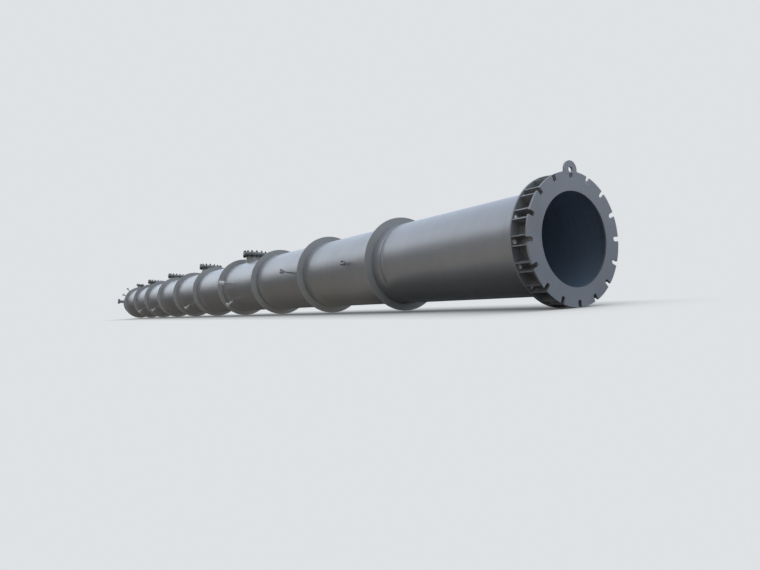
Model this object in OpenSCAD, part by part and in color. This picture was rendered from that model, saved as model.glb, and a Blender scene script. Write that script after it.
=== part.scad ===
// Distillation column: a welded steel shell on a skirt, with anchor chairs, insulation rings,
// manways and flanged nozzles. Sizes are in millimetres. Z runs from the underside of the base
// ring to the top head, and +X points to the tailing lug.

/* [Shell] */
// Outside diameter of the shell and of the skirt
shell_d = 1500; // [1300:10:1800]
// Wall thickness of the shell and of both heads
shell_t = 14; // [8:1:24]
// Height of one full shell course
course_h = 3000; // [2900:50:3400]
// Height of the short course under the top head
top_course_h = 1400; // [1250:50:2500]
// Height of the shell's lower end above the underside of the base ring
bottom_tangent = 3700; // [2500:50:5000]
// Straight rim of each dished head
head_rim_h = 40; // [25:5:80]

/* [Skirt and base] */
// Wall thickness of the skirt
skirt_t = 16; // [10:1:30]
// Gap along the skirt between its top edge and the rim of the bottom head
skirt_drop = 40; // [30:5:80]
// Distance that the base ring and the compression ring reach outside the skirt
ring_reach = 165; // [150:5:250]
// Distance that the base ring reaches inside the skirt's outer face
base_ledge = 100; // [60:5:200]
// Thickness of the base ring and of the tailing lug
base_t = 28; // [20:1:60]
// Thickness of the compression ring
compression_t = 28; // [16:1:50]
// Distance of the anchor bolt circle from the skirt's outer face
bolt_offset = 95; // [80:1:110]
// Width of the anchor slots and diameter of the holes above them
anchor_w = 66; // [40:1:90]
// Height of the gussets between the two rings
gusset_h = 257; // [150:1:400]
// Thickness of a gusset
gusset_t = 16; // [10:1:20]
// Clear width between the two gussets of one chair
chair_w = 111; // [96:1:125]
// Distance between the gussets' outer edge and the rim of the rings
gusset_setback = 10; // [0:1:20]

/* [Tailing lug] */
// Diameter of the hole for the lifting shackle
lug_hole_d = 80; // [50:1:90]
// Distance between the anchor hole behind the lug and the lug's foot
lug_inset = 8; // [6:1:20]
// Steel between the lug's foot and its hole
lug_bridge = 10; // [8:1:40]
// Radius of the lug's round top, which is half its width
lug_r = 124; // [100:1:140]

/* [Insulation rings] */
// Height of each ring above the seam below it
ring_rise = 300; // [150:10:380]
// Radial width of the ring
ring_w = 145; // [80:5:200]
// Thickness of the ring
ring_t = 10; // [6:1:16]

/* [Nozzles] */
// Distance from the shell to the face of a manway flange
manway_reach = 210; // [205:5:400]
// Wall thickness of the large necks
neck_t = 12; // [8:1:20]
// Length of the tapered hub behind a large flange
hub_h = 45; // [20:1:60]
// Extra radius of the hub where it meets the flange
hub_w = 14; // [6:1:20]
// Thickness of the gasket and raised face between a flange and its cover
gasket_h = 5; // [2:1:8]
// Width of the bolt land outside the gasket
bolt_land = 58; // [40:1:60]
// Neck diameter of a manway
manway_neck_d = 610; // [560:1:630]
// Flange diameter of a manway
manway_flange_d = 813; // [795:1:860]
// Flange thickness of a manway
manway_flange_t = 48; // [30:1:55]
// Neck diameter of the vapour nozzle
vapour_neck_d = 406; // [350:1:430]
// Flange diameter of the vapour nozzle
vapour_flange_d = 595; // [570:1:650]
// Flange thickness of the vapour nozzle
vapour_flange_t = 37; // [25:1:50]
// Distance from the crown of the top head to the face of the vapour flange
vapour_reach = 250; // [200:5:400]
// Neck diameter of the vent nozzle
vent_neck_d = 273; // [219:1:280]
// Flange diameter of the vent nozzle
vent_flange_d = 406; // [400:1:450]
// Flange thickness of the vent nozzle
vent_flange_t = 30; // [20:1:40]
// Distance from the shell to the face of the vent flange
vent_reach = 300; // [220:5:400]
// Neck diameter of the reflux nozzle
reflux_neck_d = 168; // [114:1:175]
// Flange diameter of the reflux nozzle
reflux_flange_d = 280; // [270:1:330]
// Flange thickness of the reflux nozzle
reflux_flange_t = 26; // [18:1:35]
// Distance from the shell to the face of the reflux flange
reflux_reach = 310; // [220:5:400]

/* [Instrument nozzles] */
// Neck diameter of an instrument nozzle
inst_neck_d = 42; // [27:1:60]
// Neck wall thickness of an instrument nozzle
inst_neck_t = 5; // [3:1:8]
// Flange diameter of an instrument nozzle
inst_flange_d = 115; // [95:1:150]
// Flange thickness of an instrument nozzle, and of its blind
inst_flange_t = 18; // [12:1:24]
// Distance from the shell to the flange face of the lowest front instrument nozzle
front_1_reach = 75; // [65:5:300]
// Distance from the shell to the flange face of the middle front instrument nozzle
front_2_reach = 285; // [100:5:300]
// Distance from the shell to the flange face of the upper front instrument nozzle
front_3_reach = 280; // [100:5:300]
// Distance from the shell to the flange faces of the side row
side_reach = 220; // [100:5:300]
// Distance from the shell to the flange face of the first top instrument nozzle
top_1_reach = 220; // [100:5:300]
// Distance from the shell to the flange face of the second top instrument nozzle
top_2_reach = 270; // [100:5:300]

/* [Places] */
// Height of the first manway above the lower seam of course 3
manway_1_rise = 2490; // [720:10:2500]
// Height of the second manway above the lower seam of course 5
manway_2_rise = 1430; // [720:10:2500]
// Height of the third manway above the lower seam of course 7
manway_3_rise = 730; // [720:10:1500]
// Height of the fourth manway above the lower seam of course 8
manway_4_rise = 2370; // [720:10:2500]
// Distance of the vent nozzle below the seam of the top head
vent_drop = 450; // [300:10:600]
// Distance of the reflux nozzle and of the top instrument nozzles below the same seam
reflux_drop = 330; // [200:10:600]
// Height of the lowest front instrument nozzle above the lower seam of course 1
front_1_rise = 1260; // [500:10:2850]
// Height of the middle front instrument nozzle above the lower seam of course 2
front_2_rise = 850; // [500:50:2850]
// Height of the upper front instrument nozzle above the lower seam of course 3
front_3_rise = 2600; // [500:50:2850]
// Height of the first instrument nozzle of the side row above the lower seam of course 3
side_1_rise = 2700; // [500:50:2850]
// Height of the second instrument nozzle of the side row above the lower seam of course 5
side_2_rise = 1800; // [500:50:2850]
// Height of the third instrument nozzle of the side row above the lower seam of course 7
side_3_rise = 2000; // [500:50:2850]
// Height of the fourth instrument nozzle of the side row above the lower seam of course 8
side_4_rise = 2300; // [500:50:2850]
// Direction of the manways and of the vent nozzle, in degrees from +X
manway_angle = 8; // [0:1:20]
// Direction of the reflux nozzle and of the front instrument nozzles, in degrees from +X
front_angle = -82; // [-95:1:-75]
// Direction of the side row of instrument nozzles, in degrees from +X
side_angle = -124; // [-135:1:-115]
// Direction of the first top instrument nozzle, in degrees from +X
top_1_angle = -56; // [-60:1:-50]
// Direction of the second top instrument nozzle, in degrees from +X
top_2_angle = -32; // [-40:1:-28]

/* [Hidden] */
$fn = 96;
// Clearance kept where a piece is welded onto a curved face
weld_gap = 0.3;
// Overshoot of every cut beyond the face that it opens
cut = 10;
// Facets of the arcs of a dished head
dish_fn = 360;
// Crown and knuckle radius of a dished head as shares of its diameter, which give a depth of a quarter
crown_share = 0.9045;
knuckle_share = 0.1727;
shell_r = shell_d / 2;
rim_r = shell_r + ring_reach;
bolt_r = shell_r + bolt_offset;
lug_foot_x = bolt_r + anchor_w / 2 + lug_inset;
lug_hole_x = lug_foot_x + lug_bridge + lug_hole_d / 2;
chair_top = base_t + gusset_h;
skirt_top = bottom_tangent - head_rim_h - skirt_drop;
crown_r = crown_share * shell_d;
knuckle_r = knuckle_share * shell_d;
knuckle_x = shell_r - knuckle_r;
crown_drop = sqrt(pow(crown_r - knuckle_r, 2) - pow(knuckle_x, 2));
dish_h = crown_r - crown_drop;
anchors = 16;
anchor_step = 360 / anchors;
courses = 10;
shell_top = bottom_tangent + (courses - 1) * course_h + top_course_h;
head_top = shell_top + head_rim_h + dish_h;
vent_rise = top_course_h - vent_drop;
reflux_rise = top_course_h - reflux_drop;
paint = [0.45, 0.46, 0.475];
lining = [0.33, 0.34, 0.35];
blank = [0.40, 0.41, 0.42];
// Manways: course, height above its lower seam
manways = [[3, manway_1_rise], [5, manway_2_rise], [7, manway_3_rise], [8, manway_4_rise]];
// Instrument nozzles: course, height above its lower seam, direction, distance from shell to flange face
instruments = [
    [1, front_1_rise, front_angle, front_1_reach],
    [2, front_2_rise, front_angle, front_2_reach],
    [3, front_3_rise, front_angle, front_3_reach],
    [3, side_1_rise, side_angle, side_reach],
    [5, side_2_rise, side_angle, side_reach],
    [7, side_3_rise, side_angle, side_reach],
    [8, side_4_rise, side_angle, side_reach],
    [courses, reflux_rise, top_1_angle, top_1_reach],
    [courses, reflux_rise, top_2_angle, top_2_reach]
];
// Every opening in the shell: course, height above its lower seam, direction, neck bore
bores = concat([
    [courses, vent_rise, manway_angle, vent_neck_d - 2 * neck_t],
    [courses, reflux_rise, front_angle, reflux_neck_d - 2 * neck_t]
], [for (m = manways) [m[0], m[1], manway_angle, manway_neck_d - 2 * neck_t]
], [for (n = instruments) [n[0], n[1], n[2], inst_neck_d - 2 * inst_neck_t]]);

// Height of the lower seam of a course
function course_z(i) = bottom_tangent + (i - 1) * course_h;

// Height of a course
function course_height(i) = i == courses ? top_course_h : course_h;

// Upright round tube with its foot at z = 0
module tube(d, wall, h) {
    difference() {
        cylinder(d = d, h = h);
        translate([0, 0, -cut]) cylinder(d = d - 2 * wall, h = h + 2 * cut);
    }
}

// Flat ring with its foot at z = 0
module flat_ring(outer_d, inner_d, h) {
    tube(outer_d, (outer_d - inner_d) / 2, h);
}

// Filled half section of a dished head, whose face lies inside the outer face by the inset
module dish_section(inset) {
    intersection() {
        square([shell_d, shell_d]);
        union() {
            translate([knuckle_x, 0]) circle(r = knuckle_r - inset, $fn = dish_fn);
            intersection() {
                translate([0, -crown_drop]) circle(r = crown_r - inset, $fn = dish_fn);
                polygon([[0, -crown_drop], [2 * knuckle_x, crown_drop], [0, crown_r]]);
            }
        }
    }
}

// Dished head with its rim's edge at z = 0 and its crown upwards
module dished_head() {
    rotate_extrude() {
        translate([shell_r - shell_t, 0]) square([shell_t, head_rim_h]);
        translate([0, head_rim_h])
            difference() {
                dish_section(0);
                dish_section(shell_t);
            }
    }
}

// Puts a shape that rises along Z onto the shell, pointing outwards
module on_shell(course, rise, angle) {
    rotate([0, 0, angle])
        translate([0, 0, course_z(course) + rise])
            rotate([0, 90, 0]) children();
}

// Neck and flange along Z from the column's axis, with the flange's face at the given height
module flanged_neck(neck_d, wall, flange_d, flange_t, face) {
    difference() {
        union() {
            cylinder(d = neck_d, h = face - flange_t / 2);
            translate([0, 0, face - flange_t - hub_h])
                cylinder(d1 = neck_d, d2 = neck_d + 2 * hub_w, h = hub_h);
            translate([0, 0, face - flange_t]) cylinder(d = flange_d, h = flange_t);
        }
        translate([0, 0, -cut]) cylinder(d = neck_d - 2 * wall, h = face + 2 * cut);
    }
}

// Takes the shell's outside away from a neck that rises along Z
module seated_on_shell() {
    difference() {
        children();
        rotate([0, 90, 0]) cylinder(d = shell_d + 2 * weld_gap, h = 2 * shell_d, center = true);
    }
}

// Flanged nozzle on the shell
module shell_nozzle(course, rise, angle, neck_d, flange_d, flange_t, reach) {
    on_shell(course, rise, angle)
        seated_on_shell() flanged_neck(neck_d, neck_t, flange_d, flange_t, shell_r + reach);
}

// Cover of a flange whose face lies at the given height along Z
module flange_cover(flange_d, flange_t, face) {
    translate([0, 0, face]) cylinder(d = flange_d - 2 * bolt_land, h = gasket_h);
    translate([0, 0, face + gasket_h]) cylinder(d = flange_d, h = flange_t);
}

// Opening through a ring for one anchor bolt
module anchor_hole(z, h) {
    translate([bolt_r, 0, z - cut]) cylinder(d = anchor_w, h = h + 2 * cut);
}

// Flat shape of the tailing lug without its hole, grown by the gap on all sides
module lug_shape(gap) {
    half_w = lug_r + gap;
    length = lug_hole_x - lug_foot_x + gap;
    translate([lug_hole_x - length, -half_w]) square([length, 2 * half_w]);
    translate([lug_hole_x, 0])
        intersection() {
            circle(r = half_w);
            translate([0, -2 * half_w]) square([2 * half_w, 4 * half_w]);
        }
}

module base_ring() {
    color(paint)
        difference() {
            flat_ring(2 * rim_r, 2 * (shell_r - base_ledge), base_t);
            for (i = [0 : anchors - 1])
                rotate([0, 0, i * anchor_step]) {
                    anchor_hole(0, base_t);
                    translate([bolt_r, -anchor_w / 2, -cut])
                        cube([ring_reach, anchor_w, base_t + 2 * cut]);
                }
            translate([0, 0, -cut]) linear_extrude(base_t + 2 * cut) lug_shape(weld_gap);
        }
}

module tailing_lug() {
    color(paint)
        linear_extrude(base_t)
            difference() {
                lug_shape(0);
                translate([lug_hole_x, 0]) circle(d = lug_hole_d);
            }
}

module anchor_gussets() {
    color(paint)
        for (i = [0 : anchors - 1])
            for (side = [-1, 1])
                rotate([0, 0, i * anchor_step])
                    difference() {
                        translate([0, side * (chair_w + gusset_t) / 2 - gusset_t / 2, base_t])
                            cube([rim_r - gusset_setback, gusset_t, gusset_h]);
                        cylinder(r = shell_r + weld_gap, h = chair_top + cut);
                    }
}

module compression_ring() {
    color(paint)
        translate([0, 0, chair_top])
            difference() {
                flat_ring(2 * rim_r, shell_d + 2 * weld_gap, compression_t);
                for (i = [0 : anchors - 1])
                    rotate([0, 0, i * anchor_step]) anchor_hole(0, compression_t);
            }
}

module skirt() {
    color(paint)
        rotate_extrude()
            difference() {
                translate([shell_r - skirt_t, base_t]) square([skirt_t, skirt_top - base_t]);
                translate([0, bottom_tangent - head_rim_h])
                    mirror([0, 1]) dish_section(-weld_gap);
            }
}

module bottom_head() {
    color(lining) translate([0, 0, bottom_tangent]) mirror([0, 0, 1]) dished_head();
}

module shell_course(i) {
    color(paint)
        difference() {
            translate([0, 0, course_z(i)]) tube(shell_d, shell_t, course_height(i));
            for (n = bores)
                if (n[0] == i) on_shell(n[0], n[1], n[2]) cylinder(d = n[3], h = shell_d);
        }
}

module top_head() {
    color(paint)
        translate([0, 0, shell_top])
            difference() {
                dished_head();
                cylinder(d = vapour_neck_d - 2 * neck_t, h = shell_d);
            }
}

module insulation_ring(i) {
    color(paint)
        translate([0, 0, course_z(i) + ring_rise])
            flat_ring(shell_d + 2 * ring_w, shell_d + 2 * weld_gap, ring_t);
}

module manway(i) {
    color(paint)
        shell_nozzle(manways[i - 1][0], manways[i - 1][1], manway_angle,
            manway_neck_d, manway_flange_d, manway_flange_t, manway_reach);
}

module vent_nozzle() {
    color(paint)
        shell_nozzle(courses, vent_rise, manway_angle, vent_neck_d, vent_flange_d, vent_flange_t, vent_reach);
}

module reflux_nozzle() {
    color(paint)
        shell_nozzle(courses, reflux_rise, front_angle,
            reflux_neck_d, reflux_flange_d, reflux_flange_t, reflux_reach);
}

module vapour_nozzle() {
    color(paint)
        translate([0, 0, shell_top + head_rim_h])
            difference() {
                flanged_neck(vapour_neck_d, neck_t, vapour_flange_d, vapour_flange_t,
                    dish_h + vapour_reach);
                rotate_extrude() dish_section(-weld_gap);
            }
}

module manway_covers() {
    color(blank)
        for (m = manways)
            on_shell(m[0], m[1], manway_angle)
                flange_cover(manway_flange_d, manway_flange_t, shell_r + manway_reach);
}

module nozzle_covers() {
    color(blank) {
        on_shell(courses, vent_rise, manway_angle)
            flange_cover(vent_flange_d, vent_flange_t, shell_r + vent_reach);
        on_shell(courses, reflux_rise, front_angle)
            flange_cover(reflux_flange_d, reflux_flange_t, shell_r + reflux_reach);
        translate([0, 0, head_top]) flange_cover(vapour_flange_d, vapour_flange_t, vapour_reach);
    }
}

module instrument_nozzles() {
    color(paint)
        for (n = instruments)
            on_shell(n[0], n[1], n[2])
                seated_on_shell()
                    difference() {
                        face = shell_r + n[3];
                        union() {
                            cylinder(d = inst_neck_d, h = face);
                            translate([0, 0, face - inst_flange_t])
                                cylinder(d = inst_flange_d, h = inst_flange_t);
                        }
                        translate([0, 0, -cut])
                            cylinder(d = inst_neck_d - 2 * inst_neck_t, h = face + 2 * cut);
                    }
}

module instrument_blinds() {
    color(blank)
        for (n = instruments)
            on_shell(n[0], n[1], n[2])
                translate([0, 0, shell_r + n[3]]) cylinder(d = inst_flange_d, h = inst_flange_t);
}

base_ring();
tailing_lug();
anchor_gussets();
compression_ring();
skirt();
bottom_head();
shell_course(1);  // shell_course_1
shell_course(2);  // shell_course_2
shell_course(3);  // shell_course_3
shell_course(4);  // shell_course_4
shell_course(5);  // shell_course_5
shell_course(6);  // shell_course_6
shell_course(7);  // shell_course_7
shell_course(8);  // shell_course_8
shell_course(9);  // shell_course_9
shell_course(10);  // shell_course_10
top_head();
insulation_ring(1);  // insulation_ring_1
insulation_ring(2);  // insulation_ring_2
insulation_ring(3);  // insulation_ring_3
insulation_ring(4);  // insulation_ring_4
insulation_ring(5);  // insulation_ring_5
insulation_ring(6);  // insulation_ring_6
insulation_ring(7);  // insulation_ring_7
insulation_ring(8);  // insulation_ring_8
insulation_ring(9);  // insulation_ring_9
insulation_ring(10);  // insulation_ring_10
manway(1);  // manway_1
manway(2);  // manway_2
manway(3);  // manway_3
manway(4);  // manway_4
vent_nozzle();
reflux_nozzle();
vapour_nozzle();
manway_covers();
nozzle_covers();
instrument_nozzles();
instrument_blinds();
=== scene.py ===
"""Distillation column: the shop finish, weld seams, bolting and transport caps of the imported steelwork."""
import logging
import math
from dataclasses import dataclass, field
from enum import Enum

import bmesh
import bpy
from mathutils import Matrix, Vector, noise


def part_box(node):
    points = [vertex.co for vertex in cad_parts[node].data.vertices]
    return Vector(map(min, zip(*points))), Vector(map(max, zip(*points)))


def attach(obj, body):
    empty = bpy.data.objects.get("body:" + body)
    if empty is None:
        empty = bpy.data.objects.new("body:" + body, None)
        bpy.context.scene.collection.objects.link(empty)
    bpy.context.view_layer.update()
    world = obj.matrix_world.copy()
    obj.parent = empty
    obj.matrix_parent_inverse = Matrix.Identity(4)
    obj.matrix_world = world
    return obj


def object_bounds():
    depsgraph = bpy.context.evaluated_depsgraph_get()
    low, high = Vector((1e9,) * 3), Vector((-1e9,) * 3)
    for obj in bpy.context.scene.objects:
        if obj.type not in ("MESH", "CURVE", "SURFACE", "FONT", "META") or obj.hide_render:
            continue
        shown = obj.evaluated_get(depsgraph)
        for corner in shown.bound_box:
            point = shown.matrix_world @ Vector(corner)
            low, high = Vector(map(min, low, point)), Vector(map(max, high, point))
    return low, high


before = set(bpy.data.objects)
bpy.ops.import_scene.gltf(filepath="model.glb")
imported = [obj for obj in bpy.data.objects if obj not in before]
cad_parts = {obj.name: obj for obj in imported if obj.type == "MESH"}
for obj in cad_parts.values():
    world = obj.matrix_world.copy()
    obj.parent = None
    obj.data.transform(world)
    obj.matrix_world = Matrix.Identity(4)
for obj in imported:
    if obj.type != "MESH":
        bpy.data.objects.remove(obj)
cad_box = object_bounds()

log = logging.getLogger("column")

BODY = "root"
MM = 0.001
UP = Vector((0.0, 0.0, 1.0))
# Points closer than this are one point
SAME_POINT = 0.01 * MM
# Length of one band of a Wave texture whose scale is one
WAVE_BAND = 0.314
# Waves in the plate are drawn this many times as deep as they are, so that they show
WAVES_DRAWN_DEEPER = 10


def linear(code: str) -> tuple[float, float, float, float]:
    """Turns an sRGB hex value into a linear colour.

    Args:
        code: A colour such as "#8a9097".

    Returns:
        Linear red, green, blue and an alpha of one.
    """
    channels = (int(code[i:i + 2], 16) / 255 for i in (1, 3, 5))
    return (*(c / 12.92 if c <= 0.04045 else ((c + 0.055) / 1.055) ** 2.4 for c in channels), 1.0)


def add_node(tree: bpy.types.NodeTree, kind: str, inputs: dict[str | int, object] | None = None,
             **settings: object) -> bpy.types.Node:
    """Adds a node, sets its properties, and fills or links its inputs.

    Args:
        tree: The tree that gets the node.
        kind: The node's type.
        inputs: A value or an output socket for each input, by the input's name or number.
        **settings: The node's own properties.

    Returns:
        The new node.
    """
    node = tree.nodes.new(kind)
    for name, value in settings.items():
        setattr(node, name, value)
    for key, value in (inputs or {}).items():
        if isinstance(value, bpy.types.NodeSocket):
            tree.links.new(value, node.inputs[key])
        else:
            node.inputs[key].default_value = value
    return node


def lay_tones(ramp: bpy.types.ColorRamp, tones: list[tuple[float, str]]) -> None:
    """Lays tones along a new colour ramp, in place of the two that it comes with.

    Args:
        ramp: The ramp.
        tones: The place of each tone along the ramp, from 0 to 1, and its colour.
    """
    elements = ramp.elements
    elements.remove(elements[0])
    *inner_tones, (end, end_code) = tones
    elements[0].position, elements[0].color = end, linear(end_code)
    for spot, code in inner_tones:
        elements.new(spot).color = linear(code)


# Finishes

@dataclass(frozen=True)
class Finish:
    """What a surface is made of and how it was made.

    Attributes:
        name: The real material and its finish.
    """

    name: str

    def shade(self, tree: bpy.types.NodeTree, shader: bpy.types.Node, place: bpy.types.NodeSocket) -> None:
        """Adds the finish's nodes to a new material.

        Args:
            tree: The material's tree.
            shader: The material's own shader.
            place: The point on the column, in metres.
        """
        raise NotImplementedError

    def material(self) -> bpy.types.Material:
        """Builds the material the first time that it is asked for.

        Returns:
            The material.
        """
        known = bpy.data.materials.get(self.name)
        if known:
            return known
        made = bpy.data.materials.new(self.name)
        made.use_nodes = True
        place = add_node(made.node_tree, "ShaderNodeTexCoord").outputs["Object"]
        self.shade(made.node_tree, made.node_tree.nodes["Principled BSDF"], place)
        return made


@dataclass(frozen=True)
class ShopPaint(Finish):
    """Grey polyurethane enamel with aluminium flake, sprayed over primer on rolled plate.

    It gives a soft, half metallic sky reflection that wanders a little with the plate, a faint lap
    from each pass of the gun, thin run marks where rain has washed the dust down, and a haze of dust
    on the upper side.

    Attributes:
        colour: The enamel where it is thick.
        thin: The enamel where it is thin or has faded.
        grime: What the run marks leave.
        dust: What settles on the upper side.
        roughness: Roughness of the clean enamel.
        flake: Share of the light that the aluminium flake sends back.
        gloss: Strength of the clear resin's own reflection over the flake.
        gloss_roughness: Roughness of the clear resin.
        grime_share: Strength of the run marks.
        dust_share: Strength of the dust.
        dulling: How much rougher the enamel is where grime and dust cover it.
        fade_mm: Size of the patches between the two tones.
        lap_mm: Distance between two passes of the gun.
        run_mm: Width of a run mark.
        wave_mm: Length of a wave that rolling has left in the plate.
        wave_depth_mm: Depth of such a wave.
        peel_mm: Grain of the sprayed film, drawn coarser than the real 2 mm so that it shows.
        peel_depth_mm: Depth of that grain.
        ripple_mm: Pitch of the ripples on a weld, or zero on plate.
        ripple_depth_mm: Depth of a ripple.
    """

    colour: str
    thin: str
    grime: str = "#4a4540"
    dust: str = "#a8a49b"
    roughness: float = 0.34
    flake: float = 0.4
    gloss: float = 0.17
    gloss_roughness: float = 0.14
    grime_share: float = 0.12
    dust_share: float = 0.08
    dulling: float = 0.4
    fade_mm: float = 900.0
    lap_mm: float = 320.0
    run_mm: float = 38.0
    wave_mm: float = 850.0
    wave_depth_mm: float = 1.2
    peel_mm: float = 6.0
    peel_depth_mm: float = 0.1
    ripple_mm: float = 0.0
    ripple_depth_mm: float = 0.6

    def tone(self, tree: bpy.types.NodeTree, place: bpy.types.NodeSocket) -> bpy.types.NodeSocket:
        """Mixes the two tones of the enamel in patches and in passes of the gun.

        Args:
            tree: The material's tree.
            place: The point on the column.

        Returns:
            The colour of the clean enamel.
        """
        patches = add_node(tree, "ShaderNodeTexNoise", {
            "Vector": place, "Scale": 1 / (self.fade_mm * MM), "Detail": 5.0, "Roughness": 0.6})
        laps = add_node(tree, "ShaderNodeTexWave", {
            "Vector": place, "Scale": WAVE_BAND / (self.lap_mm * MM), "Distortion": 2.5,
            "Detail": 2.0, "Detail Scale": 1.5}, bands_direction="Z")
        both = add_node(tree, "ShaderNodeMath", {
            0: laps.outputs["Fac"], 1: 0.08, 2: patches.outputs["Fac"]}, operation="MULTIPLY_ADD")
        share = add_node(tree, "ShaderNodeMapRange", {
            "Value": both.outputs[0], "From Min": 0.35, "From Max": 0.75})
        return add_node(tree, "ShaderNodeMix", {
            0: share.outputs[0], 6: linear(self.colour), 7: linear(self.thin)},
            data_type="RGBA").outputs[2]

    def runs(self, tree: bpy.types.NodeTree, place: bpy.types.NodeSocket) -> bpy.types.NodeSocket:
        """Draws run marks that go down the sides of the column as it lies.

        Args:
            tree: The material's tree.
            place: The point on the column.

        Returns:
            How strongly a run mark shows.
        """
        drawn_out = add_node(tree, "ShaderNodeMapping", {
            "Vector": place, "Scale": (0.7, 0.7, 1 / (self.run_mm * MM))})
        marks = add_node(tree, "ShaderNodeTexNoise", {
            "Vector": drawn_out.outputs[0], "Scale": 1.0, "Detail": 3.0, "Roughness": 0.65})
        patches = add_node(tree, "ShaderNodeTexNoise", {
            "Vector": place, "Scale": 0.9, "Detail": 2.0})
        both = add_node(tree, "ShaderNodeMath", {
            0: marks.outputs["Fac"], 1: patches.outputs["Fac"]}, operation="MULTIPLY")
        return add_node(tree, "ShaderNodeMapRange", {
            "Value": both.outputs[0], "From Min": 0.28, "From Max": 0.42,
            "To Max": self.grime_share}, interpolation_type="SMOOTHSTEP").outputs[0]

    def settled(self, tree: bpy.types.NodeTree, place: bpy.types.NodeSocket) -> bpy.types.NodeSocket:
        """Draws the dust that has settled on the side that lies uppermost.

        Args:
            tree: The material's tree.
            place: The point on the column.

        Returns:
            How strongly the dust shows.
        """
        across = add_node(tree, "ShaderNodeSeparateXYZ", {0: place})
        upper = add_node(tree, "ShaderNodeMapRange", {
            "Value": across.outputs["X"], "From Min": -0.3, "From Max": 0.9, "To Max": self.dust_share},
            interpolation_type="SMOOTHSTEP")
        specks = add_node(tree, "ShaderNodeTexNoise", {
            "Vector": place, "Scale": 14.0, "Detail": 8.0, "Roughness": 0.7})
        return add_node(tree, "ShaderNodeMath", {
            0: upper.outputs[0], 1: specks.outputs["Fac"]}, operation="MULTIPLY").outputs[0]

    def relief(self, tree: bpy.types.NodeTree, place: bpy.types.NodeSocket) -> bpy.types.NodeSocket:
        """Bends the surface by the plate's waves, the film's grain and the ripples of a weld.

        Args:
            tree: The material's tree.
            place: The point on the column.

        Returns:
            The bent normal.
        """
        waves = add_node(tree, "ShaderNodeTexNoise", {
            "Vector": place, "Scale": 1 / (self.wave_mm * MM), "Detail": 1.0})
        bent = add_node(tree, "ShaderNodeBump", {
            "Height": waves.outputs["Fac"], "Strength": 1.0,
            "Distance": self.wave_depth_mm * MM * WAVES_DRAWN_DEEPER})
        peel = add_node(tree, "ShaderNodeTexNoise", {
            "Vector": place, "Scale": 1 / (self.peel_mm * MM), "Detail": 1.0})
        bent = add_node(tree, "ShaderNodeBump", {
            "Height": peel.outputs["Fac"], "Distance": self.peel_depth_mm * MM, "Strength": 0.5,
            "Normal": bent.outputs[0]})
        if self.ripple_mm:
            along = add_node(tree, "ShaderNodeAttribute", attribute_name="along")
            turns = add_node(tree, "ShaderNodeMath", {
                0: along.outputs["Fac"], 1: math.tau / (self.ripple_mm * MM)}, operation="MULTIPLY")
            ripple = add_node(tree, "ShaderNodeMath", {0: turns.outputs[0]}, operation="SINE")
            bent = add_node(tree, "ShaderNodeBump", {
                "Height": ripple.outputs[0], "Distance": self.ripple_depth_mm * MM,
                "Normal": bent.outputs[0]})
        return bent.outputs[0]

    def shade(self, tree: bpy.types.NodeTree, shader: bpy.types.Node, place: bpy.types.NodeSocket) -> None:
        """Adds the enamel's nodes to a new material.

        Args:
            tree: The material's tree.
            shader: The material's own shader.
            place: The point on the column, in metres.
        """
        runs = self.runs(tree, place)
        dust = self.settled(tree, place)
        washed = add_node(tree, "ShaderNodeMix", {
            0: runs, 6: self.tone(tree, place), 7: linear(self.grime)}, data_type="RGBA")
        dusty = add_node(tree, "ShaderNodeMix", {
            0: dust, 6: washed.outputs[2], 7: linear(self.dust)}, data_type="RGBA")
        tree.links.new(dusty.outputs[2], shader.inputs["Base Color"])
        dulled = add_node(tree, "ShaderNodeMath", {0: runs, 1: dust}, operation="ADD")
        rough = add_node(tree, "ShaderNodeMapRange", {
            "Value": dulled.outputs[0], "To Min": self.roughness,
            "To Max": self.roughness + self.dulling})
        tree.links.new(rough.outputs[0], shader.inputs["Roughness"])
        tree.links.new(self.relief(tree, place), shader.inputs["Normal"])
        shader.inputs["Metallic"].default_value = self.flake
        shader.inputs["Coat Weight"].default_value = self.gloss
        shader.inputs["Coat Roughness"].default_value = self.gloss_roughness


@dataclass(frozen=True)
class LinedPaint(ShopPaint):
    """Shop paint outside and dull primer inside the same plate, the primer paler and bluer than primer is,
    as painted blue sky light.

    Attributes:
        primer_and_sky_light: Colour of the primer, made paler and bluer as painted blue sky light.
        lining_radius: Radius inside which the primer shows, in metres.
    """

    # Paler and bluer than primer is: painted blue sky light inside the skirt.
    primer_and_sky_light: str = "#8394a7"
    lining_radius: float = 0.0

    def tone(self, tree: bpy.types.NodeTree, place: bpy.types.NodeSocket) -> bpy.types.NodeSocket:
        """Shows the primer with its painted sky light inside the plate and the enamel outside.

        Args:
            tree: The material's tree.
            place: The point on the column.

        Returns:
            The colour of the clean coat.
        """
        across = add_node(tree, "ShaderNodeSeparateXYZ", {0: place})
        flat = add_node(tree, "ShaderNodeCombineXYZ", {0: across.outputs[0], 1: across.outputs[1]})
        radius = add_node(tree, "ShaderNodeVectorMath", {0: flat.outputs[0]}, operation="LENGTH")
        outside = add_node(tree, "ShaderNodeMath", {
            0: radius.outputs["Value"], 1: self.lining_radius}, operation="GREATER_THAN")
        return add_node(tree, "ShaderNodeMix", {
            0: outside.outputs[0], 6: linear(self.primer_and_sky_light), 7: ShopPaint.tone(self, tree, place)},
            data_type="RGBA").outputs[2]


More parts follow.
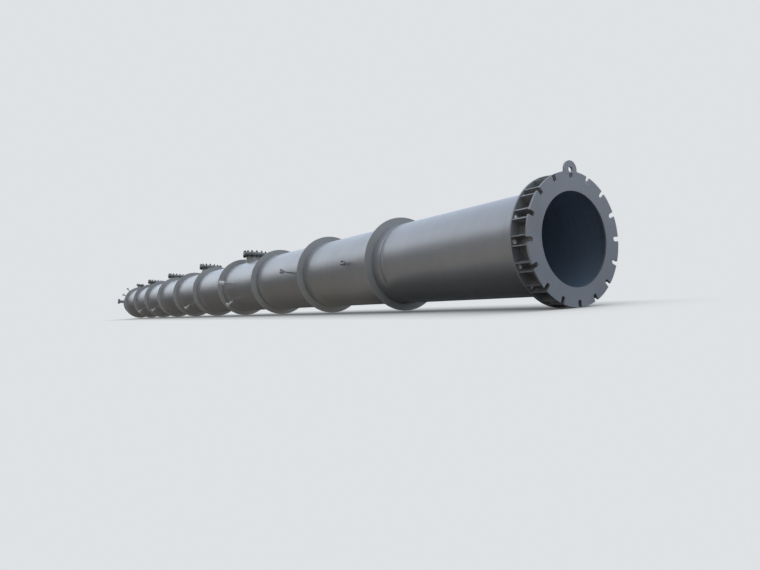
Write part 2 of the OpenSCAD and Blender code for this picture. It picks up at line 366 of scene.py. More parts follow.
@dataclass(frozen=True)
class FlangedPaint(ShopPaint):
    """Shop paint on a neck, and a darker tone on the forged flange that it ends in, which is painted shade.

    The darker flange is painted shade: below the paler cover it gives a dark band.

    Attributes:
        painted_shade: Colour of the flange, a darker tone that is painted shade.
        axis: The neck's direction.
        flange_start: Where the flange starts along the neck's direction, in metres.
    """

    # A darker tone on the flange: painted shade under the cover.
    painted_shade: str = "#54565a"
    axis: tuple[float, float, float] = (1.0, 0.0, 0.0)
    flange_start: float = 0.0

    def tone(self, tree: bpy.types.NodeTree, place: bpy.types.NodeSocket) -> bpy.types.NodeSocket:
        """Shows the painted shade on the flange and the enamel on the neck.

        Args:
            tree: The material's tree.
            place: The point on the column.

        Returns:
            The colour of the clean coat.
        """
        along = add_node(tree, "ShaderNodeVectorMath", {0: place, 1: self.axis}, operation="DOT_PRODUCT")
        on_flange = add_node(tree, "ShaderNodeMath", {
            0: along.outputs["Value"], 1: self.flange_start}, operation="GREATER_THAN")
        return add_node(tree, "ShaderNodeMix", {
            0: on_flange.outputs[0], 6: ShopPaint.tone(self, tree, place), 7: linear(self.painted_shade)},
            data_type="RGBA").outputs[2]


@dataclass(frozen=True)
class StudSteel(Finish):
    """Black phosphated carbon steel, rolled and oiled, as stud bolts and their nuts are.

    It gives a dark sheen, brown where the oil has dried, and rings of thread on the studs.

    Attributes:
        colour: The phosphate coat.
        rust: Where the coat has gone.
        metal: How far the steel shines through the coat.
        thread_mm: Pitch of the thread, drawn coarser than the real 3 mm so that it shows.
        thread_depth_mm: Depth of the thread.
    """

    colour: str = "#26262a"
    rust: str = "#4d3325"
    metal: float = 0.6
    thread_mm: float = 5.0
    thread_depth_mm: float = 0.8

    def shade(self, tree: bpy.types.NodeTree, shader: bpy.types.Node, place: bpy.types.NodeSocket) -> None:
        """Adds the steel's nodes to a new material.

        Args:
            tree: The material's tree.
            shader: The material's own shader.
            place: The point on the column, in metres.
        """
        bloom = add_node(tree, "ShaderNodeTexNoise", {
            "Vector": place, "Scale": 35.0, "Detail": 4.0, "Roughness": 0.7})
        share = add_node(tree, "ShaderNodeMapRange", {
            "Value": bloom.outputs["Fac"], "From Min": 0.52, "From Max": 0.72, "To Max": 0.7})
        colour = add_node(tree, "ShaderNodeMix", {
            0: share.outputs[0], 6: linear(self.colour), 7: linear(self.rust)}, data_type="RGBA")
        tree.links.new(colour.outputs[2], shader.inputs["Base Color"])
        rough = add_node(tree, "ShaderNodeMapRange", {
            "Value": share.outputs[0], "To Min": 0.42, "To Max": 0.8})
        tree.links.new(rough.outputs[0], shader.inputs["Roughness"])
        shader.inputs["Metallic"].default_value = self.metal
        along = add_node(tree, "ShaderNodeAttribute", attribute_name="along")
        turns = add_node(tree, "ShaderNodeMath", {
            0: along.outputs["Fac"], 1: math.tau / (self.thread_mm * MM)}, operation="MULTIPLY")
        thread = add_node(tree, "ShaderNodeMath", {0: turns.outputs[0]}, operation="SINE")
        bent = add_node(tree, "ShaderNodeBump", {
            "Height": thread.outputs[0], "Distance": self.thread_depth_mm * MM})
        tree.links.new(bent.outputs[0], shader.inputs["Normal"])


@dataclass(frozen=True)
class GasketSteel(Finish):
    """Rolled stainless strip, as the centring ring of a spiral wound gasket is.

    It gives a bright line with a fine grain that runs round the ring.

    Attributes:
        colour: The bare strip.
    """

    colour: str = "#8f8f8c"

    def shade(self, tree: bpy.types.NodeTree, shader: bpy.types.Node, place: bpy.types.NodeSocket) -> None:
        """Adds the strip's nodes to a new material.

        Args:
            tree: The material's tree.
            shader: The material's own shader.
            place: The point on the column, in metres.
        """
        grain = add_node(tree, "ShaderNodeTexNoise", {
            "Vector": place, "Scale": 220.0, "Detail": 3.0})
        rough = add_node(tree, "ShaderNodeMapRange", {
            "Value": grain.outputs["Fac"], "To Min": 0.3, "To Max": 0.55})
        shader.inputs["Base Color"].default_value = linear(self.colour)
        shader.inputs["Metallic"].default_value = 1.0
        tree.links.new(rough.outputs[0], shader.inputs["Roughness"])


@dataclass(frozen=True)
class CapPlastic(Finish):
    """White polyethylene, blow moulded, as transport caps are.

    It gives a waxy white with road dust in patches.

    Attributes:
        colour: The clean plastic.
        grime: Road dust.
        dent_mm: Depth of the dents that handling has left.
    """

    colour: str = "#cfd0cd"
    grime: str = "#8d8678"
    dent_mm: float = 2.0

    def shade(self, tree: bpy.types.NodeTree, shader: bpy.types.Node, place: bpy.types.NodeSocket) -> None:
        """Adds the plastic's nodes to a new material.

        Args:
            tree: The material's tree.
            shader: The material's own shader.
            place: The point on the column, in metres.
        """
        patches = add_node(tree, "ShaderNodeTexNoise", {
            "Vector": place, "Scale": 22.0, "Detail": 5.0, "Roughness": 0.65})
        share = add_node(tree, "ShaderNodeMapRange", {
            "Value": patches.outputs["Fac"], "From Min": 0.45, "From Max": 0.8, "To Max": 0.6})
        colour = add_node(tree, "ShaderNodeMix", {
            0: share.outputs[0], 6: linear(self.colour), 7: linear(self.grime)}, data_type="RGBA")
        tree.links.new(colour.outputs[2], shader.inputs["Base Color"])
        shader.inputs["Roughness"].default_value = 0.45
        bent = add_node(tree, "ShaderNodeBump", {
            "Height": patches.outputs["Fac"], "Distance": self.dent_mm * MM, "Strength": 0.4})
        tree.links.new(bent.outputs[0], shader.inputs["Normal"])


@dataclass(frozen=True)
class FloorGlow(Finish):
    """A floor that glows in an even pale tone, as a studio floor looks.

    It gives an even pale ground with painted contact shade close to the column, and is open from below.

    Attributes:
        colour: The floor's glow.
        reach: How far from the column the painted shade reaches, in metres.
    """

    colour: str = "#dfe2e5"
    reach: float = 1.6

    def shade(self, tree: bpy.types.NodeTree, shader: bpy.types.Node, place: bpy.types.NodeSocket) -> None:
        """Puts the glowing floor's nodes in place of a new material's own.

        Args:
            tree: The material's tree.
            shader: The material's own shader, which a glowing floor of even tone doesn't need.
            place: The point on the floor, which is not used.
        """
        tree.nodes.clear()
        # Painted contact shade: ambient occlusion darkens the glow near the column.
        near = add_node(tree, "ShaderNodeAmbientOcclusion", {
            "Color": linear(self.colour), "Distance": self.reach}, samples=16)
        glow = add_node(tree, "ShaderNodeEmission", {"Color": near.outputs["Color"]})
        open_side = add_node(tree, "ShaderNodeBsdfTransparent")
        below = add_node(tree, "ShaderNodeNewGeometry").outputs["Backfacing"]
        both = add_node(tree, "ShaderNodeMixShader", {
            0: below, 1: glow.outputs[0], 2: open_side.outputs[0]})
        add_node(tree, "ShaderNodeOutputMaterial", {"Surface": both.outputs[0]})


@dataclass(frozen=True)
class BoardFelt(Finish):
    """Pressed wool felt, as a studio's shade board is covered with.

    It gives the lower side a soft shadow, and its paler middle keeps that shadow readable.

    Attributes:
        tones: Distance from the board's middle line, in metres, and colour of each tone.
        half_width: Half the board's width, in metres.
    """

    tones: tuple[tuple[float, str], ...] = (
        (0.0, "#b2b2b0"), (0.3, "#747473"), (0.75, "#303031"), (1.3, "#74716c"), (1.9, "#b0aba3"))
    half_width: float = 2.0

    def shade(self, tree: bpy.types.NodeTree, shader: bpy.types.Node, place: bpy.types.NodeSocket) -> None:
        """Adds the felt's nodes to a new material.

        Args:
            tree: The material's tree.
            shader: The material's own shader.
            place: The point on the board, in metres.
        """
        across = add_node(tree, "ShaderNodeSeparateXYZ", {0: place})
        aside = add_node(tree, "ShaderNodeMath", {0: across.outputs["Y"]}, operation="ABSOLUTE")
        share = add_node(tree, "ShaderNodeMath", {
            0: aside.outputs[0], 1: self.half_width}, operation="DIVIDE")
        ramp = add_node(tree, "ShaderNodeValToRGB", {"Fac": share.outputs[0]})
        lay_tones(ramp.color_ramp, [(distance / self.half_width, code) for distance, code in self.tones])
        tree.links.new(ramp.outputs[0], shader.inputs["Base Color"])
        shader.inputs["Roughness"].default_value = 0.9


# Rules that make what repeats

class ShapeRule:
    """A Geometry Nodes tree with named inputs, whose result is taken as a plain mesh."""

    def __init__(self, name: str, inputs: dict[str, str]) -> None:
        """Starts the tree.

        Args:
            name: The tree's name.
            inputs: The kind of socket for each named input.
        """
        self.tree = bpy.data.node_groups.new(name, "GeometryNodeTree")
        sockets = self.tree.interface
        sockets.new_socket("Geometry", in_out="OUTPUT", socket_type="NodeSocketGeometry")
        sockets.new_socket("Geometry", in_out="INPUT", socket_type="NodeSocketGeometry")
        for label, kind in {**inputs, "Seed": "NodeSocketInt", "Material": "NodeSocketMaterial"}.items():
            sockets.new_socket(label, in_out="INPUT", socket_type=kind)
        self.given = add_node(self.tree, "NodeGroupInput").outputs

    def close(self, shape: bpy.types.NodeSocket) -> None:
        """Ends the tree.

        Args:
            shape: The geometry that the tree gives out.
        """
        real = add_node(self.tree, "GeometryNodeRealizeInstances", {"Geometry": shape})
        dressed = add_node(self.tree, "GeometryNodeSetMaterial", {
            "Geometry": real.outputs[0], "Material": self.given["Material"]})
        add_node(self.tree, "NodeGroupOutput", {0: dressed.outputs[0]})

    def apply(self, source: bpy.types.Mesh, values: dict[str, object]) -> bpy.types.Mesh:
        """Runs the tree once on a source mesh.

        Args:
            source: The points or lines that the rule starts from.
            values: A value for each named input.

        Returns:
            The result as a plain mesh.
        """
        holder = bpy.data.objects.new(self.tree.name, source)
        bpy.context.collection.objects.link(holder)
        modifier = holder.modifiers.new("rule", "NODES")
        modifier.node_group = self.tree
        for item in self.tree.interface.items_tree:
            if item.in_out == "INPUT" and item.name in values:
                modifier[item.identifier] = values[item.name]
        graph = bpy.context.evaluated_depsgraph_get()
        result = bpy.data.meshes.new_from_object(holder.evaluated_get(graph), depsgraph=graph)
        holder.modifiers.remove(modifier)
        bpy.data.objects.remove(holder)
        return result


class BeadRule(ShapeRule):
    """Weld beads along lines: a flat oval, a little uneven, that faces the way its line says."""

    SIDES = 8
    UNEVENNESS = 0.5

    def __init__(self) -> None:
        """Builds the tree."""
        super().__init__("weld_bead", {
            "Half Width": "NodeSocketFloat", "Half Height": "NodeSocketFloat",
            "Unevenness": "NodeSocketFloat"})
        tree, given = self.tree, self.given
        lines = add_node(tree, "GeometryNodeMeshToCurve", {"Mesh": given["Geometry"]})
        outward = add_node(tree, "GeometryNodeInputNamedAttribute", {"Name": "outward"},
                           data_type="FLOAT_VECTOR")
        turned = add_node(tree, "GeometryNodeSetCurveNormal", {
            "Curve": lines.outputs[0], "Normal": outward.outputs[0]}, mode="FREE")
        length = add_node(tree, "GeometryNodeSplineParameter")
        marked = add_node(tree, "GeometryNodeStoreNamedAttribute", {
            "Geometry": turned.outputs[0], "Name": "along", "Value": length.outputs["Length"]},
            data_type="FLOAT", domain="POINT")
        place = add_node(tree, "GeometryNodeInputPosition")
        lumps = add_node(tree, "ShaderNodeTexNoise", {
            "Vector": place.outputs[0], "W": given["Seed"], "Scale": 16.0, "Detail": 2.0},
            noise_dimensions="4D")
        swing = add_node(tree, "ShaderNodeMath", {
            0: lumps.outputs["Fac"], 1: -0.5}, operation="ADD")
        size = add_node(tree, "ShaderNodeMath", {
            0: swing.outputs[0], 1: given["Unevenness"], 2: 1.0}, operation="MULTIPLY_ADD")
        oval = add_node(tree, "ShaderNodeCombineXYZ", {
            "X": given["Half Height"], "Y": given["Half Width"], "Z": 1.0})
        circle = add_node(tree, "GeometryNodeCurvePrimitiveCircle", {
            "Resolution": self.SIDES, "Radius": 1.0})
        profile = add_node(tree, "GeometryNodeTransform", {
            "Geometry": circle.outputs["Curve"], "Scale": oval.outputs[0]})
        bead = add_node(tree, "GeometryNodeCurveToMesh", {
            "Curve": marked.outputs[0], "Profile Curve": profile.outputs[0],
            "Scale": size.outputs[0], "Fill Caps": True})
        smooth = add_node(tree, "GeometryNodeSetShadeSmooth", {"Geometry": bead.outputs[0]})
        self.close(smooth.outputs[0])


class StudRule(ShapeRule):
    """Stud bolts with two nuts each, in a circle round the axis of every flanged joint."""

    STUD_SIDES = 12
    NUT_SHOULDER = 0.93
    NUT_TURN = 0.35
    HEX_SHARE = 0.86

    def __init__(self) -> None:
        """Builds the tree."""
        super().__init__("stud_circle", {
            "Count": "NodeSocketInt", "Circle Radius": "NodeSocketFloat",
            "Stud Radius": "NodeSocketFloat", "Stud Length": "NodeSocketFloat",
            "Nut Radius": "NodeSocketFloat", "Nut Height": "NodeSocketFloat",
            "Nut Offset": "NodeSocketFloat"})
        tree, given = self.tree, self.given
        circle = add_node(tree, "GeometryNodeMeshCircle", {
            "Vertices": given["Count"], "Radius": given["Circle Radius"]})
        half_pitch = add_node(tree, "ShaderNodeMath", {
            0: math.pi, 1: given["Count"]}, operation="DIVIDE")
        turn = add_node(tree, "FunctionNodeAxisAngleToRotation", {
            "Axis": tuple(UP), "Angle": half_pitch.outputs[0]})
        straddled = add_node(tree, "GeometryNodeTransform", {
            "Geometry": circle.outputs[0], "Rotation": turn.outputs[0]})
        axis = add_node(tree, "GeometryNodeInputNamedAttribute", {"Name": "axis"},
                        data_type="FLOAT_VECTOR")
        facing = add_node(tree, "FunctionNodeAlignRotationToVector", {
            "Vector": axis.outputs[0]}, axis="Z")
        circles = add_node(tree, "GeometryNodeInstanceOnPoints", {
            "Points": given["Geometry"], "Instance": straddled.outputs[0],
            "Rotation": facing.outputs[0]})
        holes = add_node(tree, "GeometryNodeRealizeInstances", {"Geometry": circles.outputs[0]})
        spin = add_node(tree, "FunctionNodeRandomValue", {3: math.tau / 6, "Seed": given["Seed"]},
                        data_type="FLOAT")
        spun = add_node(tree, "FunctionNodeAxisAngleToRotation", {
            "Axis": tuple(UP), "Angle": spin.outputs[1]})
        placed = add_node(tree, "FunctionNodeRotateRotation", {
            "Rotation": facing.outputs[0], "Rotate By": spun.outputs[0]}, rotation_space="LOCAL")
        studs = add_node(tree, "GeometryNodeInstanceOnPoints", {
            "Points": holes.outputs[0], "Instance": self.bolt(), "Rotation": placed.outputs[0]})
        self.close(studs.outputs[0])

    def bolt(self) -> bpy.types.NodeSocket:
        """Makes one stud with its nuts, upright, with the joint's middle plane at zero.

        Returns:
            The bolt's geometry.
        """
        tree, given = self.tree, self.given
        rod = add_node(tree, "GeometryNodeMeshCylinder", {
            "Vertices": self.STUD_SIDES, "Radius": given["Stud Radius"], "Depth": given["Stud Length"]})
        place = add_node(tree, "GeometryNodeInputPosition")
        height = add_node(tree, "ShaderNodeSeparateXYZ", {0: place.outputs[0]})
        marked = add_node(tree, "GeometryNodeStoreNamedAttribute", {
            "Geometry": rod.outputs["Mesh"], "Name": "along", "Value": height.outputs["Z"]},
            data_type="FLOAT", domain="POINT")
        tall = add_node(tree, "ShaderNodeMath", {
            0: given["Nut Height"], 1: self.HEX_SHARE}, operation="MULTIPLY")
        hexagon = add_node(tree, "GeometryNodeMeshCylinder", {
            "Vertices": 6, "Radius": given["Nut Radius"], "Depth": tall.outputs[0]})
        narrow = add_node(tree, "ShaderNodeMath", {
            0: given["Nut Radius"], 1: self.NUT_SHOULDER * math.cos(math.pi / 6)}, operation="MULTIPLY")
        shoulder = add_node(tree, "GeometryNodeMeshCylinder", {
            "Vertices": self.STUD_SIDES, "Radius": narrow.outputs[0], "Depth": given["Nut Height"]})
        nut = add_node(tree, "GeometryNodeJoinGeometry", {0: hexagon.outputs["Mesh"]})
        tree.links.new(shoulder.outputs["Mesh"], nut.inputs[0])
        whole = add_node(tree, "GeometryNodeJoinGeometry", {0: marked.outputs[0]})
        for side in (1.0, -1.0):
            offset = add_node(tree, "ShaderNodeMath", {
                0: given["Nut Offset"], 1: side}, operation="MULTIPLY")
            lift = add_node(tree, "ShaderNodeCombineXYZ", {"Z": offset.outputs[0]})
            moved = add_node(tree, "GeometryNodeTransform", {
                "Geometry": nut.outputs[0], "Translation": lift.outputs[0],
                "Rotation": (0.0, 0.0, self.NUT_TURN * side)})
            tree.links.new(moved.outputs[0], whole.inputs[0])
        return whole.outputs[0]


BEADS = BeadRule()
STUDS = StudRule()


class Bead(Enum):
    """Weld beads by what they join.

    The values are half the bead's width and half its height, of which the outer part shows, in
    millimetres.
    """

    CHAIR = (6.0, 3.5)
    SKIRT = (8.0, 4.5)
    SKIRT_AND_HEAD = (46.0, 2.6)
    SHELL = (10.0, 2.6)
    RING = (9.0, 5.5)
    NECK = (9.0, 5.0)
    SMALL_NECK = (5.0, 3.0)
    LUG_OR_HUB = (6.0, 2.0)


class WeldLines:
    """Lines that weld beads follow, where each point knows which way the bead faces."""

    ROUND_STEPS = 192

    def __init__(self) -> None:
        """Starts with no lines."""
        self.points: list[Vector] = []
        self.outward: list[Vector] = []
        self.edges: list[tuple[int, int]] = []

    def add(self, points: list[Vector], outward: list[Vector], closed: bool = False) -> None:
        """Adds one line.

        Args:
            points: The points of the line in order.
            outward: The way that the bead faces at each point.
            closed: Whether the line joins its own start.
        """
        start, count = len(self.points), len(points)
        self.points += points
        self.outward += outward
        last = count if closed else count - 1
        self.edges += [(start + i, start + (i + 1) % count) for i in range(last)]

    def circle(self, centre: Vector, axis: Vector, radius: float, lean: float = 0.0,
               steps: int = ROUND_STEPS) -> None:
        """Adds a circle round an axis.

        Args:
            centre: The circle's centre.
            axis: The circle's axis.
            radius: The circle's radius.
            lean: How far the bead faces from straight outwards towards the axis's end, in degrees.
            steps: The number of points.
        """
        turn = axis.to_track_quat("Z", "Y")
        spokes = [turn @ Vector((math.cos(a), math.sin(a), 0.0))
                  for a in (math.tau * i / steps for i in range(steps))]
        tilt = math.radians(lean)
        self.add([centre + spoke * radius for spoke in spokes],
                 [spoke * math.cos(tilt) + axis * math.sin(tilt) for spoke in spokes], closed=True)

    def straight(self, start: Vector, end: Vector, outward: Vector, steps: int = 2) -> None:
        """Adds a straight line.

        Args:
            start: The first point.
            end: The last point.
            outward: The way that the bead faces.
            steps: The number of points.
        """
        points = [start.lerp(end, i / (steps - 1)) for i in range(steps)]
        self.add(points, [outward.normalized()] * steps)

    def saddle(self, root: Vector, axis: Vector, neck: float, shell: float, steps: int = 96) -> None:
        """Adds the line where a neck that points straight outwards meets the shell.

        Args:
            root: The point on the column's axis that the neck starts from.
            axis: The neck's direction.
            neck: The neck's radius.
            shell: The shell's radius.
            steps: The number of points.
        """
        side = UP.cross(axis)
        points, outward = [], []
        for angle in (math.tau * i / steps for i in range(steps)):
            spoke = side * math.cos(angle) + UP * math.sin(angle)
            drop = math.sqrt(shell ** 2 - (neck * math.cos(angle)) ** 2)
            points.append(root + axis * drop + spoke * neck)
            outward.append((axis + spoke).normalized())
        self.add(points, outward, closed=True)

    def mesh(self) -> bpy.types.Mesh:
        """Turns the lines into a mesh of edges.

        Returns:
            The mesh, with the outward direction of each point as an attribute.
        """
        made = bpy.data.meshes.new("weld_lines")
        made.from_pydata(self.points, self.edges, [])
        faced = made.attributes.new("outward", "FLOAT_VECTOR", "POINT")
        faced.data.foreach_set("vector", [value for way in self.outward for value in way])
        return made


# What the frame says

def solids(node: str) -> list[list[Vector]]:
    """Splits a CAD node into its separate solids.

    Args:
        node: The node's name.

    Returns:
        The corner points of each solid.
    """
    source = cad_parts[node]
    work = bmesh.new()
    work.from_mesh(source.data)
    work.transform(source.matrix_world)
    bmesh.ops.remove_doubles(work, verts=work.verts, dist=SAME_POINT)
    unseen, found = set(work.verts), []
    while unseen:
        waiting = [unseen.pop()]
        points = []
        while waiting:
            vert = waiting.pop()
            points.append(vert.co.copy())
            near = {edge.other_vert(vert) for edge in vert.link_edges} & unseen
            unseen -= near
            waiting += near
        found.append(points)
    work.free()
    return found


class FlangeSize(Enum):
    """Standard flanges by their use.

    The values are flange diameter, neck diameter, number of studs, bolt circle and stud diameter, in
    millimetres.
    """

    MANWAY = (813, 610, 16, 749, 33)
    VAPOUR = (595, 406, 16, 540, 25.4)
    VENT = (406, 273, 12, 362, 22.2)
    REFLUX = (280, 168, 8, 241.3, 19)
    INSTRUMENT = (115, 42, 4, 86, 12.7)

    def __init__(self, flange: float, neck: float, studs: int, circle: float, stud: float) -> None:
        """Names the values, in metres.

        Args:
            flange: Diameter of the flange, in millimetres.
            neck: Diameter of the neck, in millimetres.
            studs: Number of studs.
            circle: Diameter of the bolt circle, in millimetres.
            stud: Diameter of a stud, in millimetres.
        """
        self.flange_radius = flange * MM / 2
        self.neck_radius = neck * MM / 2
        self.studs = studs
        self.circle_radius = circle * MM / 2
        self.stud = stud * MM

    @classmethod
    def of(cls, radius: float) -> "FlangeSize":
        """Finds the flange with a radius.

        Args:
            radius: The flange's outside radius, in metres.

        Returns:
            The nearest size.
        """
        return min(cls, key=lambda size: abs(size.flange_radius - radius))


@dataclass(frozen=True)
class FlangedJoint:
    """One flange and what is bolted to it.

    Attributes:
        root: The point on the column's axis, or on the crown's axis, that the neck starts from.
        axis: The direction out of the flange.
        face: Distance of the flange's face from the root.
        end: Distance of the cover's outer face from the root.
        size: The flange's size.
    """

    root: Vector
    axis: Vector
    face: float
    end: float
    size: FlangeSize

    @classmethod
    def read(cls, points: list[Vector]) -> "FlangedJoint":
        """Finds a joint from the solid of its cover.

        Args:
            points: The corner points of the cover.

        Returns:
            The joint.
        """
        centre = sum(points, Vector()) / len(points)
        flat = Vector((centre.x, centre.y, 0.0))
        on_crown = flat.length < 10 * MM
        axis = UP.copy() if on_crown else flat.normalized()
        root = Vector((0.0, 0.0, 0.0 if on_crown else centre.z))
        along = [(p - root).dot(axis) for p in points]
        radius = max(((p - root) - axis * t).length for p, t in zip(points, along))
        return cls(root, axis, min(along), max(along), FlangeSize.of(radius))


@dataclass(frozen=True)
class ColumnSizes:
    """Sizes of the column, read from the frame, in metres.

    Attributes:
        shell: Outside radius of the shell.
        rim: Radius of the base ring.
        seams: Heights of the girth seams.
        rings: Lowest and highest point of each insulation ring.
        chair: Lowest and highest point of the gussets.
        gusset_edge: Radius that the gussets' outer edges reach.
        deck: Top of the compression ring.
        skirt_top: Top edge of the skirt.
    """

    shell: float
    rim: float
    seams: tuple[float, ...]
    rings: tuple[tuple[float, float], ...]
    chair: tuple[float, float]
    gusset_edge: float
    deck: float
    skirt_top: float

    @classmethod
    def read(cls) -> "ColumnSizes":
        """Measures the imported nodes.

        Returns:
            The sizes.
        """
        courses = sorted((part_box(n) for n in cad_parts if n.startswith("shell_course_")),
                         key=lambda box: box[0].z)
        rings = sorted((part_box(n)[0].z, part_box(n)[1].z)
                       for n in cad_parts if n.startswith("insulation_ring_"))
        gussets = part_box("anchor_gussets")
        return cls(
            shell=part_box("skirt")[1].x,
            rim=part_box("base_ring")[1].y,
            seams=tuple(box[0].z for box in courses) + (courses[-1][1].z,),
            rings=tuple(rings),
            chair=(gussets[0].z, gussets[1].z),
            gusset_edge=gussets[1].x,
            deck=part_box("compression_ring")[1].z,
            skirt_top=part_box("skirt")[1].z)


# Turned pieces

def revolve(work: bmesh.types.BMesh, profile: list[tuple[float, float]], joint: FlangedJoint, steps: int,
            closed: bool = False) -> None:
    """Turns a profile round a joint's axis.

    Args:
        work: The mesh that gets the faces.
        profile: Radius and distance along the axis of each point.
        joint: The joint.
        steps: The number of steps round the axis.
        closed: Whether the profile joins its own start.
    """
    turn = joint.axis.to_track_quat("Z", "Y").to_matrix()
    rings = [[work.verts.new(joint.root + turn @ Vector((r * math.cos(a), r * math.sin(a), z)))
              for r, z in profile] for a in (math.tau * i / steps for i in range(steps))]
    count = len(profile)
    for one, two in zip(rings, rings[1:] + rings[:1]):
        for a in range(count if closed else count - 1):
            b = (a + 1) % count
            work.faces.new((one[a], two[a], two[b], one[b]))


def finished(work: bmesh.types.BMesh, name: str, finish: Finish) -> bpy.types.Mesh:
    """Points the faces of a worked shape outwards and turns it into a mesh.

    Args:
        work: The shape, which is freed.
        name: The mesh's name.
        finish: Its finish.

    Returns:
        The mesh.
    """
    bmesh.ops.recalc_face_normals(work, faces=work.faces)
    mesh = bpy.data.meshes.new(name)
    work.to_mesh(mesh)
    work.free()
    mesh.materials.append(finish.material())
    return mesh


def turned(profile: list[tuple[float, float]], joint: FlangedJoint, finish: Finish,
           steps: int = 48) -> bpy.types.Mesh:
    """Makes a smooth piece by turning a profile that starts and ends on a joint's axis.

    Args:
        profile: Radius and distance along the axis of each point.
        joint: The joint.
        finish: The piece's finish.
        steps: The number of steps round the axis.

    Returns:
        The turned mesh.
    """
    work = bmesh.new()
    revolve(work, profile, joint, steps)
    bmesh.ops.remove_doubles(work, verts=work.verts, dist=SAME_POINT)
    for face in work.faces:
        face.smooth = True
    return finished(work, "turned", finish)


# Sub-assemblies

ENAMEL = ShopPaint("flake enamel sprayed on rolled plate", colour="#8c8f93", thin="#949799")
SEAM_ENAMEL = ShopPaint("flake enamel brushed over welds", colour="#8a8d91", thin="#979a9c",
                        roughness=0.48, gloss=0.2, wave_depth_mm=0.0, ripple_mm=9.0)
RING_ENAMEL = ShopPaint("flake enamel sprayed on cut rings", colour="#949695", thin="#9c9d9b",
                        roughness=0.55, flake=0.2, gloss=0.1, wave_depth_mm=0.6)
BASE_ENAMEL = ShopPaint("flake enamel sprayed on thick plate", colour="#888b8f", thin="#8e9195",
                        roughness=0.5, gloss=0.15, wave_depth_mm=0.4)
# Paler than the shell's enamel: a painted highlight of sky light on the covers' rims.
HIGHLIT_COVER_ENAMEL = ShopPaint("flake enamel brushed on covers", colour="#989b9d", thin="#a3a5a6",
                         roughness=0.52, gloss=0.2, wave_depth_mm=0.2, fade_mm=180.0)
PRIMER = ShopPaint("zinc phosphate primer sprayed on the head", colour="#3f474b", thin="#495156",
                   roughness=0.7, flake=0.0, gloss=0.0, wave_depth_mm=0.4)


class SubAssembly:
    """A group of pieces that is made and finished together."""

    def dress(self, finish: Finish, *prefixes: str) -> None:
        """Gives a finish to CAD nodes.

        Args:
            finish: The finish.
            *prefixes: The nodes' names, or how they start.
        """
        for name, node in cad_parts.items():
            if name.startswith(prefixes):
                for slot in node.material_slots:
                    slot.material = finish.material()
                log.info("%s: %s", name, finish.name)

    def add(self, name: str, mesh: bpy.types.Mesh, slot: str = "") -> bpy.types.Object:
        """Adds a finished mesh as a piece that rides on the column.

        Args:
            name: The piece's name.
            mesh: The mesh, in the frame's own place.
            slot: The record's material slot, which is not used.

        Returns:
            The piece.
        """
        mesh.name = name
        piece = bpy.data.objects.new(name, mesh)
        bpy.context.collection.objects.link(piece)
        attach(piece, BODY)
        log.info("%s: %d faces", name, len(mesh.polygons))
        return piece

    def weld(self, name: str, lines: WeldLines, bead: Bead, slot: str, seed: int) -> bpy.types.Object:
        """Lays weld beads along lines.

        Args:
            name: The piece's name.
            lines: The lines.
            bead: The bead.
            slot: The record's material slot.
            seed: The seed of the bead's unevenness.

        Returns:
            The piece.
        """
        half_width, half_height = bead.value
        mesh = BEADS.apply(lines.mesh(), {
            "Half Width": half_width * MM, "Half Height": half_height * MM,
            "Unevenness": BEADS.UNEVENNESS, "Seed": seed, "Material": SEAM_ENAMEL.material()})
        return self.add(name, mesh, slot)


